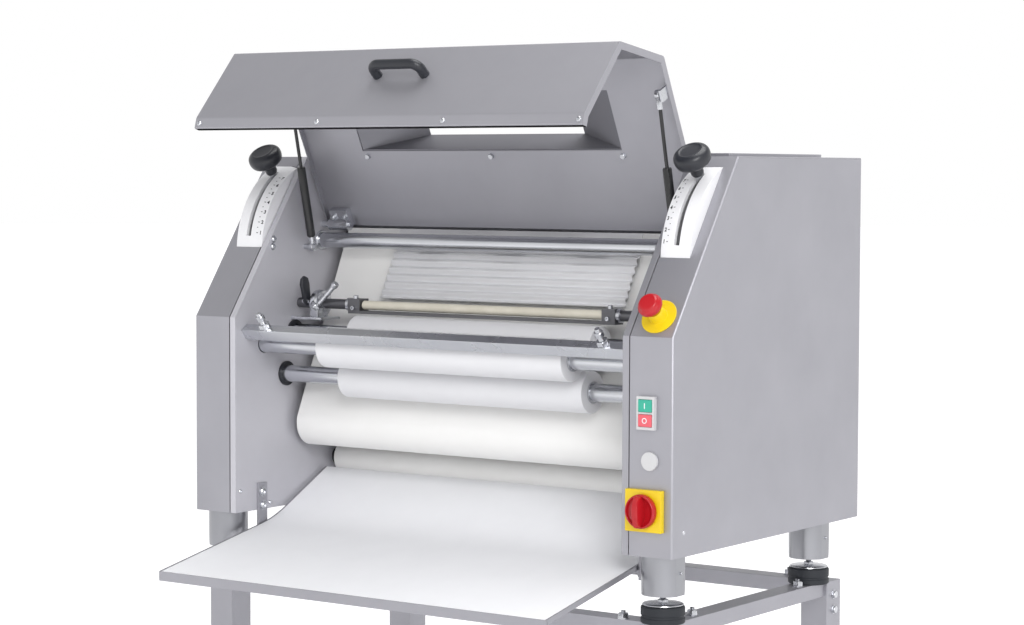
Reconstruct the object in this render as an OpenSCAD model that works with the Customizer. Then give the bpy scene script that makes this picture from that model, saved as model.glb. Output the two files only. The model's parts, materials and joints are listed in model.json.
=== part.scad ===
// Dough sheeter and moulder for a bakery: a roller head on an open stand.
// Millimetres, +Z up. The origin is on the floor, under the centre of the machine.
// Inside the modules, y = 0 is the front face of the housings and z = 0 the
// underside of the head, and in_head() carries them to the origin.

/* [Head] */
// Clear width between the two side plates
inner_w = 800; // [720:1:960]
// Thickness of a side plate
plate_t = 12; // [10:0.5:15]
// Air gap between a side plate and its cover
plate_gap = 2; // [1:0.5:4]
// Width of a side cover
cover_w = 79; // [79:1:110]
// Sheet thickness of the covers
sheet_t = 2; // [1.5:0.1:3]
// Front to back depth of the head
head_depth = 618; // [590:1:760]
// Height of the head, without its feet
head_h = 623; // [616:1:640]
// Height of the upright front face
front_h = 343; // [336:1:352]
// How far the sloping face runs back
slope_run = 196; // [190:1:202]
// How far the rear top cover stands above the side covers
lid_rise = 6; // [4:0.5:10]

/* [Rollers] */
// Diameter of the three sheeting rollers
roller_d = 70; // [50:0.5:72]
// Length of the sheeting rollers
roller_len = 510; // [400:1:560]
// Diameter of the sheeting roller shafts
shaft_d = 30; // [22:0.5:32]
// How far the front roller can close towards the rear roller
gap_travel = 10; // [2:0.5:11]
// Diameter of the big belt roller
belt_roller_d = 76; // [60:0.5:80]
// Diameter of the other belt rollers
idler_d = 50; // [40:0.5:54]
// Thickness of the felt belts
belt_t = 3; // [2:0.1:5]
// Width of the felt belts
belt_w = 772; // [600:1:780]
// Diameter of the guide roller above the rear roller
guide_d = 16; // [10:0.5:18]

/* [Hood] */
// Length of the hood's rear panel
hood_back = 312; // [300:1:320]
// Length of the hood's top panel
hood_top = 131; // [115:1:140]
// Length of the hood's front panel
hood_front = 149; // [130:1:160]
// Length of the lip along the front edge
hood_lip = 19; // [12:1:24]
// Height of the feed hopper
hopper_h = 60; // [30:1:70]

/* [Levers and controls] */
// Outer radius of the white scale blocks
scale_r = 165; // [155:1:168]
// Distance from the pivot to the middle of a lever's knob
lever_r = 204; // [198:1:215]
// Swing of each lever
lever_swing = 41; // [20:1:41]
// Diameter of a lever's knob
knob_d = 61; // [40:1:62]
// Side of the main switch plate
switch_plate = 66; // [54:1:70]
// Diameter of the emergency stop disc
stop_disc_d = 60; // [50:1:66]

/* [Tray] */
// Reach of the tray in front of the head
tray_reach = 200; // [120:1:260]
// Thickness of the tray sheet
tray_t = 3; // [2:0.1:4]
// Height of the tray's front lip
tray_lip = 16; // [10:1:30]

/* [Stand] */
// Height of the stand, from the floor to the top of its rails
stand_h = 643; // [400:1:800]
// Side of a stand leg
leg_w = 50; // [40:1:60]
// Height of a stand rail
rail_h = 25; // [20:1:40]
// Width of a stand rail
rail_w = 40; // [30:1:50]
// Diameter of the head's feet
foot_d = 69; // [50:1:74]
// Height of the head's feet
foot_h = 63; // [40:1:90]
// Thickness of the rubber pad under each foot
pad_h = 27; // [15:1:40]

/* [Hidden] */
$fn = 96;
fit = 0.05;          // radial clearance of a running fit
clear = 0.4;         // clearance between parts that only pass each other
stem_h = 12;         // free length of the levelling stem
cap_h = 5;           // steel cap on the rubber pad
pad_d = foot_d + 1;
stem_r = 5;
head_z = stand_h + pad_h + cap_h + stem_h + foot_h;
plate_x = inner_w / 2;
plate_out = plate_x + plate_t;
cover_x = plate_out + plate_gap;
cover_out = cover_x + cover_w;
rear_y = head_depth + sheet_t;
y_mid = (rear_y - tray_reach) / 2;

slope_a = atan2(head_h - front_h, slope_run);

// Roller centres, as [y, z]
front_roller = [77, 293];
lower_roller = [137, 237];
rear_roller = [160, 310];
belt_roller = [190, 148];
upper_idler = [322, 478];
delivery_roller = [282, 76];
rear_idler = [520, 76];
guide_roller = [175, 362];
motor_axis = [500, 230];
cross_tube_at = [236, 473];
tie_bar_at = [[330, 30], [596, 560], [560, 330]];
blade_bar_at = [15, 320];
blade_tilt = 36;

// The front roller closes along this direction
gap_dir = (rear_roller - front_roller) / norm(rear_roller - front_roller);

roller_r = roller_d / 2;
shaft_r = shaft_d / 2;
bush_wall = 4;
bush_r = shaft_r + bush_wall;
belt_roller_r = belt_roller_d / 2;
idler_r = idler_d / 2;
idler_shaft_r = 10;
ring_r = shaft_r + 3;

// Hood: the hinge axis, and the outer line of its folded sheet when open
hinge = [241, 502];
hinge_r = 6;
hinge_wall = 5;
hinge_in = 18;       // the axis lies this far inside the rear panel
hinge_up = 10;       // and this far above the panel's lower edge
hood_gap = 5;
hood_lean = 116;
hood_turns = [0, 56, 113, 138];
hood_lens = [hood_back, hood_top, hood_front, hood_lip];
hood_half = plate_x - hood_gap;
hood_dir = [for (turn = hood_turns) [cos(hood_lean + turn), sin(hood_lean + turn)]];
back_out = [sin(hood_lean), -cos(hood_lean)];
hood_p0 = hinge + hinge_in * back_out - hinge_up * hood_dir[0];
hood_p1 = hood_p0 + hood_lens[0] * hood_dir[0];
hood_p2 = hood_p1 + hood_lens[1] * hood_dir[1];
hood_p3 = hood_p2 + hood_lens[2] * hood_dir[2];
hood_p4 = hood_p3 + hood_lens[3] * hood_dir[3];
hood_path = [hood_p0, hood_p1, hood_p2, hood_p3, hood_p4];
hem = 12;
window_half = 272;
mouth_half = 164;
window_from = 148;
window_len = 108;

// Gas springs: the fixed ball, and the ball on the open hood
spring_x = plate_x - 18;
spring_foot = [190, 462];
spring_head = [130, 721];
spring_vec = spring_head - spring_foot;
spring_len = norm(spring_vec);
spring_a = atan2(spring_vec[1], spring_vec[0]);
cylinder_r = 7.5;
rod_r = 3;
cylinder_from = 16;
cylinder_to = 146;

// Levers and their scale blocks
pivot = [249, 454];
pivot_r = 6;
scale_x = [plate_out + 2, plate_out + 58];
slot_x = plate_out + 32;
slot_w = 10;
lever_rest = 125;
scale_a = [113.2, 176.9];
scale_wall = 7;
scale_in = 112;
band_w = 14;         // sloping band on the inner edge, which carries the numbers
band_drop = 3;
lever_t = 6;
handle_at = 62;
handle_half = 48;
handle_h = 27;
handle_r = 8.5;
hinge_x = 338;
hinge_w = 44;
piston_r = 5.5;
rail_t = 4;

control_x = plate_out + 34;
stop_at = [control_x + 8, 21, front_h + 21 * tan(slope_a)];
stop_neck_r = 9;
stop_collar_h = 20;
stop_head_z = 26;
button_at = [control_x + 1, 225];
button_size = [24, 19];
button_pitch = 23;
lamp_at = [control_x + 6, 150];
switch_at = [control_x - 1, 73];
switch_t = 10;
gland_at = [plate_x - 28, 598];

foot_y = [40, 515];
leg_y = [45, 560];
foot_x = plate_out + 40;
leg_foot_h = 40;

tray_half = plate_x - 5;
tray_slope = 11.4;
tray_bend_r = 240;
tray_turn = 16.6;
tray_knee = [60, -23.5];
tray_end = 240;
tray_pin = [68, -36];
tray_pin_r = 5;

// Places and sizes inside the head
motor_shaft_r = 12;
motor_r = 62;
motor_box = [300, 120];
shelf_y = [430, 590];
shelf_z = 165;
shelf_t = 8;
tie_r = 12;
cross_tube_r = 14;
flange_y = 300;
flange_z = 505;
vents = 6;
vent_x = 180;
vent_w = 160;
vent_z = 380;
vent_step = 16;
spring_pin_r = 5;
blade_bar_size = [18, 21];
stud_x = 350;
block = 40;
block_w = 18;
rib = 7;
chain_x = cover_x + 42;
sprocket_r = 36;
gear_x = cover_x + block_w + 2;
gear_w = 12;
gear_teeth = 20;
gear_r = norm(rear_roller - lower_roller) / 2;
mesh_a = atan2(rear_roller[1] - lower_roller[1], rear_roller[0] - lower_roller[0]);
guide_half = 252;
guide_pin_r = 5;
guide_shaft_r = 9;
guide_bar_z = 347;
guide_bar_t = 5;
lock_x = 352;
lock_pivot = [156, 366];
lock_pin_r = 4;
board_half = 257;
board_t = 2;
board_from = 219;
board_len = 103;
board_top = 34;
board_waves = 7;
board_wave = 3.5;
board_gap = 14;
board_lean = 7;      // how much nearer the belt its top is
board_steps = 56;
press_y = [330, 470];
press_z = 114;
press_half = plate_x - 8;
press_pins = [350, 450];
press_pin_r = 6;
press_travel = 6;
arc_steps = 32;
loop_slack = 0.1;    // so that the straight facets of a loop clear the roller too

// ---- placing and outline helpers ----

// Carries a shape from the head's own axes to the origin on the floor
module in_head() {
    translate([0, -y_mid, head_z]) children();
}

// The shape and its mirror image on the left
module both_sides() {
    children();
    mirror([1, 0, 0]) children();
}

// A [y, z] outline, drawn out from x0 to x1
module side_extrude(x0, x1) {
    translate([x0, 0, 0]) rotate([90, 0, 90]) linear_extrude(x1 - x0) children();
}

// A round bar along x through the point c = [y, z]
module bar_x(c, r, x0, x1) {
    translate([x0, c[0], c[1]]) rotate([0, 90, 0]) cylinder(r = r, h = x1 - x0);
}

// Carries a shape drawn in the slope's own axes: its +z leaves the slope
module on_slope(at) {
    translate(at) rotate([slope_a, 0, 0]) children();
}

function polar(a, r = 1) = r * [cos(a), sin(a)];

// Left normal of the segment from a to b
function side_of(a, b) = [-(b - a)[1], (b - a)[0]] / norm(b - a);

// Mitred offset of corner i of an open path
function mitre(path, i) =
    let (last = len(path) - 1)
    let (before = side_of(path[max(i - 1, 0)], path[max(i, 1)]))
    let (after = side_of(path[min(i, last - 1)], path[min(i + 1, last)]))
    (before + after) / (1 + before * after);

// Closed outline of a sheet of thickness t that follows an open path
function sheet(path, t) =
    let (last = len(path) - 1)
    concat(path, [for (i = [last:-1:0]) path[i] + t * mitre(path, i)]);

// The same path moved inward by t, and made longer at both ends
function raised(path, t) =
    let (last = len(path) - 1)
    let (start = path[0] - 5 * (path[1] - path[0]) / norm(path[1] - path[0]))
    let (end = path[last] + 5 * (path[last] - path[last - 1]) / norm(path[last] - path[last - 1]))
    [for (i = [0:last]) (i == 0 ? start : i == last ? end : path[i]) + t * mitre(path, i)];

// Housing outline, moved inward by t
function housing(t) = [
    [t, t > 0 ? -1 : 0],
    [t, front_h + t * (tan(slope_a) - 1 / cos(slope_a))],
    [slope_run + t * (1 / sin(slope_a) - 1 / tan(slope_a)), head_h - t],
    [head_depth - t, head_h - t],
    [head_depth - t, t > 0 ? -1 : 0]];

// Closed line round two circles, which belts and the chain follow
function round_both(c1, r1, c2, r2) =
    let (way = c2 - c1)
    let (base = atan2(way[1], way[0]))
    let (open = acos((r1 - r2) / norm(way)))
    let (back = (360 - 2 * open) / arc_steps)
    let (front = 2 * open / arc_steps)
    concat(
        [for (i = [0:arc_steps]) c1 + polar(base + open + i * back, r1)],
        [for (i = [0:arc_steps]) c2 + polar(base - open + i * front, r2)]);

module loop_belt(c1, r1, c2, r2, t, x0, x1) {
    inner = clear + loop_slack;
    difference() {
        side_extrude(x0, x1) polygon(round_both(c1, r1 + inner + t, c2, r2 + inner + t));
        side_extrude(x0 - 1, x1 + 1) polygon(round_both(c1, r1 + inner, c2, r2 + inner));
    }
}

// Toothed wheel outline: straight-flanked teeth with backlash
module toothed(teeth, root_r, tip_r, root_share, tip_share, turn) {
    step = 360 / teeth;
    polygon([for (i = [0:teeth - 1]) each [
        polar(turn + step * (i - root_share / 2), root_r),
        polar(turn + step * (i - tip_share / 2), tip_r),
        polar(turn + step * (i + tip_share / 2), tip_r),
        polar(turn + step * (i + root_share / 2), root_r)]]);
}

// ---- frame and covers ----

// Axes of the front roller's block: y runs along its travel
module at_front_block(x) {
    translate([x, front_roller[0], front_roller[1]])
        rotate([atan2(gap_dir[1], gap_dir[0]), 0, 0]) children();
}

module side_plate() {
    difference() {
        side_extrude(plate_x, plate_out) polygon(housing(0));
        for (c = [lower_roller, rear_roller, belt_roller])
            bar_x(c, bush_r + fit, plate_x - 1, plate_out + 1);
        for (c = [upper_idler, delivery_roller, rear_idler])
            bar_x(c, idler_shaft_r + bush_wall + fit, plate_x - 1, plate_out + 1);
        for (along = [0, gap_travel])
            bar_x(front_roller + along * gap_dir, shaft_r + 1, plate_x - 1, plate_out + 1);
        at_front_block(plate_x - 1) translate([0, 0, -shaft_r - 1])
            cube([plate_t + 2, gap_travel, 2 * shaft_r + 2]);
        for (y = press_pins)
            side_extrude(plate_x - 1, plate_out + 1) translate([y, press_z + 6]) {
                circle(r = press_pin_r + clear);
                translate([0, -press_travel]) circle(r = press_pin_r + clear);
                translate([-press_pin_r - clear, -press_travel])
                    square([2 * (press_pin_r + clear), press_travel]);
            }
    }
    // Ways that guide the sliding block of the front roller
    at_front_block(plate_out)
        for (z = [-block / 2 - clear - rib, block / 2 + clear])
            translate([0, -block / 2 - 4, z]) cube([plate_gap + block_w, block + 14, rib]);
}

module left_side_plate() {
    color([0.62, 0.62, 0.66]) in_head() difference() {
        mirror([1, 0, 0]) side_plate();
        bar_x(motor_axis, motor_shaft_r + 4, -plate_out - 1, -plate_x + 1);
    }
}

module right_side_plate() {
    color([0.62, 0.62, 0.66]) in_head() side_plate();
}

module cover_shell() {
    difference() {
        side_extrude(cover_x, cover_out) polygon(housing(0));
        side_extrude(cover_x - 1, cover_out - sheet_t) polygon(housing(sheet_t));
        sector(scale_x[0] - clear, scale_x[1] + clear, scale_in - 12, scale_r + clear,
            scale_a[0] - 0.2, scale_a[1] + 0.2);
    }
}

module left_cover() {
    color([0.66, 0.66, 0.7]) in_head() mirror([1, 0, 0]) cover_shell();
}

module right_cover() {
    color([0.66, 0.66, 0.7]) in_head() difference() {
        cover_shell();
        on_slope(stop_at) translate([0, 0, -20]) cylinder(r = stop_neck_r + 1, h = 40);
        translate([switch_at[0], -1, switch_at[1]]) rotate([-90, 0, 0]) cylinder(r = 10, h = 20);
        for (z = [-0.5, 0.5])
            translate([button_at[0] - 13, -1, button_at[1] + z * button_pitch - 10.5])
                cube([26, 20, 21]);
    }
}

module top_cover() {
    half = plate_out + 1;
    color([0.64, 0.64, 0.68]) in_head() {
        difference() {
            translate([-half, flange_y, head_h]) cube([2 * half, rear_y - flange_y, lid_rise]);
            translate([sheet_t - half, flange_y + sheet_t, head_h - 1])
                cube([2 * (half - sheet_t), rear_y - flange_y - 2 * sheet_t, lid_rise + 1 - sheet_t]);
        }
        translate([1 - plate_x, flange_y, flange_z])
            cube([2 * (plate_x - 1), sheet_t, head_h - flange_z]);
    }
}

module rear_cover() {
    half = plate_out + 1;
    color([0.64, 0.64, 0.68]) in_head() difference() {
        translate([-half, head_depth, 0]) cube([2 * half, sheet_t, head_h]);
        for (i = [0:vents - 1])
            translate([vent_x, head_depth - 1, vent_z + i * vent_step])
                cube([vent_w, sheet_t + 2, vent_step / 2]);
    }
}

module tie_bars() {
    color([0.6, 0.6, 0.62]) in_head() {
        for (c = tie_bar_at)
            bar_x(c, tie_r, -plate_x, plate_x);
        translate([-plate_x, shelf_y[0], shelf_z - shelf_t])
            cube([inner_w, shelf_y[1] - shelf_y[0], shelf_t]);
    }
}

module cross_tube() {
    color([0.82, 0.82, 0.84]) in_head() bar_x(cross_tube_at, cross_tube_r, -plate_x, plate_x);
}

// Pins that stand on the plates: lever pivots outside, hood hinges and gas
// spring feet inside
module plate_pins() {
    color([0.75, 0.75, 0.77]) in_head() both_sides() {
        bar_x(pivot, pivot_r, plate_out, slot_x + 9);
        bar_x(spring_foot, spring_pin_r, spring_x - 8, plate_x);
        bar_x(hinge, hinge_r, hinge_x - 4, plate_x);
    }
}

module bush(c, r) {
    difference() {
        union() {
            bar_x(c, r + bush_wall, plate_x, plate_out);
            bar_x(c, r + bush_wall + 3, plate_x - 3, plate_x);
        }
        bar_x(c, r + fit, plate_x - 4, plate_out + 1);
    }
}

module shaft_bushes() {
    color([0.1, 0.1, 0.11]) in_head() both_sides() {
        for (c = [lower_roller, rear_roller, belt_roller]) bush(c, shaft_r);
        for (c = [upper_idler, delivery_roller, rear_idler]) bush(c, idler_shaft_r);
    }
}

// ---- bar across the front ----

module at_blade_bar(x) {
    translate([x, blade_bar_at[0], blade_bar_at[1]]) rotate([blade_tilt, 0, 0]) children();
}

module blade_bar() {
    color([0.7, 0.71, 0.74]) in_head() at_blade_bar(0)
        translate([-plate_x, 0, -blade_bar_size[1]])
            cube([inner_w, blade_bar_size[0], blade_bar_size[1]]);
}

module blade_bar_studs() {
    color([0.78, 0.78, 0.8]) in_head() for (x = [-stud_x, stud_x])
        at_blade_bar(x) translate([0, blade_bar_size[0] / 2, 0]) {
            cylinder(r = 9.5, h = 2);
            translate([0, 0, 2]) cylinder(r = 9.2, h = 9, $fn = 6);
            cylinder(r = 5, h = 33);
            translate([0, 0, 18]) cylinder(r = 7.5, h = 9);
        }
}

// ---- sheeting rollers ----

module roller_sleeve(c) {
    color([0.95, 0.95, 0.94]) in_head() difference() {
        bar_x(c, roller_r, -roller_len / 2, roller_len / 2);
        bar_x(c, shaft_r, -roller_len, roller_len);
    }
}

module roller_shaft(c, x0, x1) {
    bar_x(c, shaft_r, x0, x1);
}

// Black rings on the shaft, against both ends of the roller
module end_rings(c) {
    both_sides() difference() {
        bar_x(c, ring_r, roller_len / 2, roller_len / 2 + 3);
        bar_x(c, shaft_r - 1, roller_len / 2 - 1, roller_len / 2 + 4);
    }
}

module front_roller() { roller_sleeve(front_roller); }
module lower_roller() { roller_sleeve(lower_roller); }
module rear_roller() { roller_sleeve(rear_roller); }

module front_roller_shaft() {
    reach = cover_x + block_w + 4;
    color([0.8, 0.8, 0.82]) in_head() {
        roller_shaft(front_roller, -reach, reach);
        end_rings(front_roller);
    }
}

// The gear that joins two rollers sits on their shafts behind the left cover
module roller_gear(c, turn) {
    side_extrude(-gear_x - gear_w, -gear_x) translate(c)
        toothed(gear_teeth, gear_r - 4.4, gear_r + 3.1, 0.62, 0.2, turn);
}

module lower_roller_shaft() {
    reach = plate_out + 3;
    color([0.8, 0.8, 0.82]) in_head() {
        roller_shaft(lower_roller, -gear_x - gear_w, reach);
        end_rings(lower_roller);
        roller_gear(lower_roller, mesh_a);
    }
}

module rear_roller_shaft() {
    reach = plate_out + 3;
    color([0.8, 0.8, 0.82]) in_head() {
        roller_shaft(rear_roller, -gear_x - gear_w, reach);
        end_rings(rear_roller);
        roller_gear(rear_roller, mesh_a + 180 + 180 / gear_teeth);
    }
}

// Sliding blocks that carry the front roller in the slots of the plates
module front_roller_blocks() {
    color([0.7, 0.7, 0.72]) in_head() both_sides() difference() {
        at_front_block(cover_x) translate([0, -block / 2, -block / 2])
            cube([block_w, block, block]);
        bar_x(front_roller, shaft_r + fit, cover_x - 1, cover_x + block_w + 1);
    }
}

// ---- guide roller, its bar and the lock on the left ----

module guide_roller() {
    color([0.9, 0.87, 0.8]) in_head() {
        bar_x(guide_roller, guide_d / 2, -guide_half, guide_half);
        bar_x(guide_roller, guide_pin_r, -guide_half - 16, guide_half + 16);
    }
}

module guide_bar() {
    color([0.3, 0.3, 0.32]) in_head() {
        difference() {
            union() {
                translate([-guide_half - 28, guide_roller[0] - 12, guide_bar_z])
                    cube([2 * guide_half + 56, 26, guide_bar_t]);
                both_sides() translate([guide_half + 2, guide_roller[0] - 12, guide_bar_z])
                    cube([26, 26, guide_roller[1] - guide_bar_z + 11]);
            }
            both_sides() bar_x(guide_roller, guide_pin_r + fit, guide_half, guide_half + 18);
        }
        both_sides() bar_x(guide_roller, guide_shaft_r, guide_half + 28, plate_x);
    }
}

module lock_bracket() {
    color([0.55, 0.55, 0.57]) in_head() {
        difference() {
            translate([-lock_x - 8, guide_roller[0] - 24, guide_bar_z - 9])
                cube([8, 48, 57]);
            bar_x(guide_roller, guide_shaft_r + fit, -lock_x - 9, -lock_x + 1);
        }
        translate([-plate_x, guide_roller[0] - 26, guide_bar_z - 14])
            cube([plate_x - lock_x + 22, 54, 5]);
        bar_x(lock_pivot, lock_pin_r, -lock_x - 24, -lock_x - 8);
        translate([-lock_x + 1, guide_roller[0] - 17, guide_bar_z + 7]) rotate([0, 47, 0])
            cylinder(r = 5, h = 66);
        translate([-lock_x - 1, guide_roller[0] - 24, guide_bar_z - 9]) cube([15, 14, 26]);
    }
}

module lock_lever() {
    color([0.07, 0.07, 0.08]) in_head() difference() {
        union() {
            bar_x(lock_pivot, 8, -lock_x - 22, -lock_x - 10);
            side_extrude(-lock_x - 20, -lock_x - 12) polygon([
                lock_pivot + [-7, 2], lock_pivot + [-14, 34], lock_pivot + [-9, 42],
                lock_pivot + [1, 42], lock_pivot + [4, 34], lock_pivot + [7, 2]]);
        }
        bar_x(lock_pivot, lock_pin_r + fit, -lock_x - 25, -lock_x - 5);
    }
}

// ---- belts and their rollers ----

module idler(c, r, ends) {
    bar_x(c, r, -belt_w / 2 - 2, belt_w / 2 + 2);
    bar_x(c, idler_shaft_r, -ends, ends);
}

module belt_roller() {
    color([0.7, 0.7, 0.72]) in_head() {
        bar_x(belt_roller, belt_roller_r, -belt_w / 2 - 2, belt_w / 2 + 2);
        bar_x(belt_roller, shaft_r, -chain_x - 8, plate_out + 3);
        side_extrude(-chain_x - 4, -chain_x + 4) translate(belt_roller)
            toothed(15, sprocket_r - 6, sprocket_r, 0.7, 0.25, 0);
    }
}

module upper_idler() {
    color([0.7, 0.7, 0.72]) in_head() idler(upper_idler, idler_r, plate_out + 2);
}

module delivery_roller() {
    color([0.7, 0.7, 0.72]) in_head() idler(delivery_roller, idler_r, plate_out + 2);
}

module rear_idler() {
    color([0.7, 0.7, 0.72]) in_head() idler(rear_idler, idler_r, plate_out + 2);
}

module curling_belt() {
    color([0.92, 0.9, 0.84]) in_head()
        loop_belt(belt_roller, belt_roller_r, upper_idler, idler_r, belt_t, -belt_w / 2, belt_w / 2);
}

module delivery_belt() {
    color([0.92, 0.9, 0.84]) in_head()
        loop_belt(delivery_roller, idler_r, rear_idler, idler_r, belt_t, -belt_w / 2, belt_w / 2);
}

// Wavy sheet in front of the curling belt, hung on the cross tube
module corrugated_board() {
    way = upper_idler - belt_roller;
    base = atan2(way[1], way[0]);
    open = acos((belt_roller_r - idler_r) / norm(way));
    up = polar(base + open - 90);
    out = polar(base + open);
    start = belt_roller + polar(base + open, belt_roller_r + clear + belt_t);
    wave = [for (i = [0:board_steps]) start + up * (board_from + board_len * i / board_steps)
        + out * (board_gap - board_lean * i / board_steps
            + board_wave * cos(360 * board_waves * i / board_steps))];
    tip = wave[board_steps];
    path = concat(wave, [tip + up * board_top]);
    color([0.95, 0.95, 0.94]) in_head() {
        side_extrude(-board_half, board_half) polygon(sheet(path, board_t));
        for (x = [-200, -30, 140])
            side_extrude(x, x + 60) polygon([
                tip + up * 6, cross_tube_at + polar(-20, cross_tube_r + 0.7),
                cross_tube_at + polar(10, cross_tube_r + 0.7), tip + up * 18]);
    }
}

module pressure_board() {
    color([0.93, 0.93, 0.92]) in_head() {
        translate([-press_half, press_y[0], press_z])
            cube([2 * press_half, press_y[1] - press_y[0], 12]);
        both_sides() for (y = press_pins)
            bar_x([y, press_z + 6], press_pin_r, press_half - 1, plate_out);
    }
}

// ---- drive ----

module gear_motor() {
    color([0.25, 0.35, 0.5]) in_head() difference() {
        union() {
            bar_x(motor_axis, motor_r, -motor_box[1], 190);
            translate([-motor_box[0], motor_axis[0] - 60, shelf_z])
                cube([motor_box[0] - motor_box[1], 120, 2 * (motor_axis[1] - shelf_z)]);
            translate([20, motor_axis[0] - 50, shelf_z]) cube([120, 100, 30]);
        }
        bar_x(motor_axis, motor_shaft_r + fit, -motor_box[0] - 1, -motor_box[0] + 40);
    }
}

module motor_sprocket() {
    color([0.5, 0.5, 0.52]) in_head() {
        bar_x(motor_axis, motor_shaft_r, -chain_x - 8, -motor_box[0] + 30);
        side_extrude(-chain_x - 4, -chain_x + 4) translate(motor_axis)
            toothed(15, sprocket_r - 6, sprocket_r, 0.7, 0.25, 0);
    }
}

module drive_chain() {
    color([0.35, 0.34, 0.32]) in_head()
        loop_belt(belt_roller, sprocket_r, motor_axis, sprocket_r, 6, -chain_x - 6, -chain_x + 6);
}

// ---- hood ----

// Local axes on a hood panel: y runs along it, z points to the inside
module on_panel(from, turn, along) {
    at = from + along * polar(hood_lean + turn);
    translate([0, at[0], at[1]]) rotate([hood_lean + turn, 0, 0]) children();
}

module hood_shell() {
    color([0.64, 0.64, 0.68]) in_head() difference() {
        side_extrude(-hood_half, hood_half) polygon(sheet(hood_path, hem));
        side_extrude(sheet_t - hood_half, hood_half - sheet_t)
            polygon(sheet(raised(hood_path, sheet_t), hem));
        on_panel(hood_p0, 0, window_from)
            translate([-window_half, 0, -10]) cube([2 * window_half, window_len, 30]);
    }
}

// Frustum from the window out to the narrower mouth
module hopper_solid(inset, low, high) {
    hull() for (level = [low, high])
        translate([0, window_len / 2, -level]) linear_extrude(0.01) square([
            2 * (window_half - inset - (window_half - mouth_half) * level / hopper_h),
            window_len - 2 * inset], center = true);
}

module feed_hopper() {
    color([0.6, 0.6, 0.64]) in_head() on_panel(hood_p0, 0, window_from) difference() {
        union() {
            hopper_solid(0, 0, hopper_h);
            translate([-window_half - 14, -14, -sheet_t])
                cube([2 * window_half + 28, window_len + 28, sheet_t]);
        }
        hopper_solid(sheet_t, -1, hopper_h + 1);
    }
}

module hood_handle() {
    color([0.06, 0.06, 0.07]) in_head() on_panel(hood_p2, hood_turns[2], handle_at) {
        for (x = [-handle_half, handle_half]) {
            translate([x, 0, -handle_h]) cylinder(r = handle_r, h = handle_h);
            translate([x, 0, -handle_h]) sphere(r = handle_r);
        }
        translate([-handle_half, 0, -handle_h]) rotate([0, 90, 0])
            cylinder(r = handle_r, h = 2 * handle_half);
    }
}

// Hinge blocks on the rear panel, and the plates that hold the gas springs
module hood_brackets() {
    color([0.45, 0.46, 0.48]) in_head() both_sides() {
        difference() {
            union() {
                on_panel(hood_p0, 0, 0) translate([hinge_x + 2, 2, sheet_t])
                    cube([hinge_w - 4, 34, hinge_in - 4]);
                bar_x(hinge, hinge_r + hinge_wall, hinge_x, hinge_x + hinge_w);
            }
            bar_x(hinge, hinge_r + fit, hinge_x - 1, hinge_x + hinge_w + 1);
        }
        on_panel(hood_p0, 0, (spring_head - hood_p0) * hood_dir[0])
            translate([hood_half - sheet_t - 4, -10, sheet_t])
                cube([4, 20, (hood_p0 - spring_head) * back_out - sheet_t + 9]);
        bar_x(spring_head, 4, spring_x + 5.4, hood_half - sheet_t - 2);
    }
}

// Gas spring axes: z runs from the fixed ball towards the hood
module at_spring(side) {
    translate([side * spring_x, spring_foot[0], spring_foot[1]])
        rotate([spring_a - 90, 0, 0]) children();
}

module spring_eye(bore) {
    rotate([0, 90, 0]) translate([0, 0, -5]) difference() {
        cylinder(r = 8, h = 10);
        if (bore) translate([0, 0, -1]) cylinder(r = spring_pin_r + fit, h = 12);
    }
}

module gas_cylinder(side) {
    color([0.08, 0.08, 0.09]) in_head() at_spring(side) {
        spring_eye(true);
        difference() {
            union() {
                translate([0, 0, 7.5]) cylinder(r = 5, h = cylinder_from - 7);
                translate([0, 0, cylinder_from])
                    cylinder(r = cylinder_r, h = cylinder_to - cylinder_from);
            }
            translate([0, 0, cylinder_from + 3])
                cylinder(r = piston_r + fit, h = cylinder_to - cylinder_from - 8);
            translate([0, 0, cylinder_from + 3]) cylinder(r = rod_r + fit, h = cylinder_to);
        }
    }
}

module gas_rod(side) {
    color([0.3, 0.3, 0.32]) in_head() at_spring(side) {
        translate([0, 0, spring_len]) spring_eye(false);
        translate([0, 0, cylinder_to - 20]) cylinder(r = rod_r, h = spring_len - cylinder_to + 14);
        translate([0, 0, cylinder_to - 22]) cylinder(r = piston_r, h = 8);
    }
}

module left_gas_cylinder() { gas_cylinder(-1); }
module right_gas_cylinder() { gas_cylinder(1); }
module left_gas_rod() { gas_rod(-1); }
module right_gas_rod() { gas_rod(1); }

// ---- levers ----

// Turns a [radius, x] outline about the lever pivot, from angle a0 to a1
module turned(x0, a0, a1) {
    translate([x0, pivot[0], pivot[1]]) rotate([90, 0, 90]) rotate([0, 0, a0])
        rotate_extrude(angle = a1 - a0) children();
}

module sector(x0, x1, r0, r1, a0, a1) {
    turned(x0, a0, a1) translate([r0, 0]) square([r1 - r0, x1 - x0]);
}

module scale_blocks() {
    color([0.95, 0.95, 0.95]) in_head() both_sides() difference() {
        union() {
            turned(scale_x[0], scale_a[0], scale_a[1]) polygon([
                [scale_in, 0], [scale_r - band_drop, 0], [scale_r, band_w],
                [scale_r, scale_x[1] - scale_x[0]], [scale_in, scale_x[1] - scale_x[0]]]);
            sector(plate_out, scale_x[0] + 3, scale_in + 4, scale_in + 20, 140, 160);
        }
        sector(scale_x[0] + scale_wall, scale_x[1] - scale_wall, scale_in - 1,
            scale_r - scale_wall, scale_a[0] + 3, scale_a[1] - 3);
        sector(slot_x - slot_w / 2, slot_x + slot_w / 2, scale_in + 20, scale_r + 1,
            lever_rest - 4, lever_rest + lever_swing + 4);
    }
}

// Lever axes: z runs from the pivot out to the knob
module at_lever(side) {
    translate([side * slot_x, pivot[0], pivot[1]]) rotate([lever_rest - 90, 0, 0]) children();
}

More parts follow.
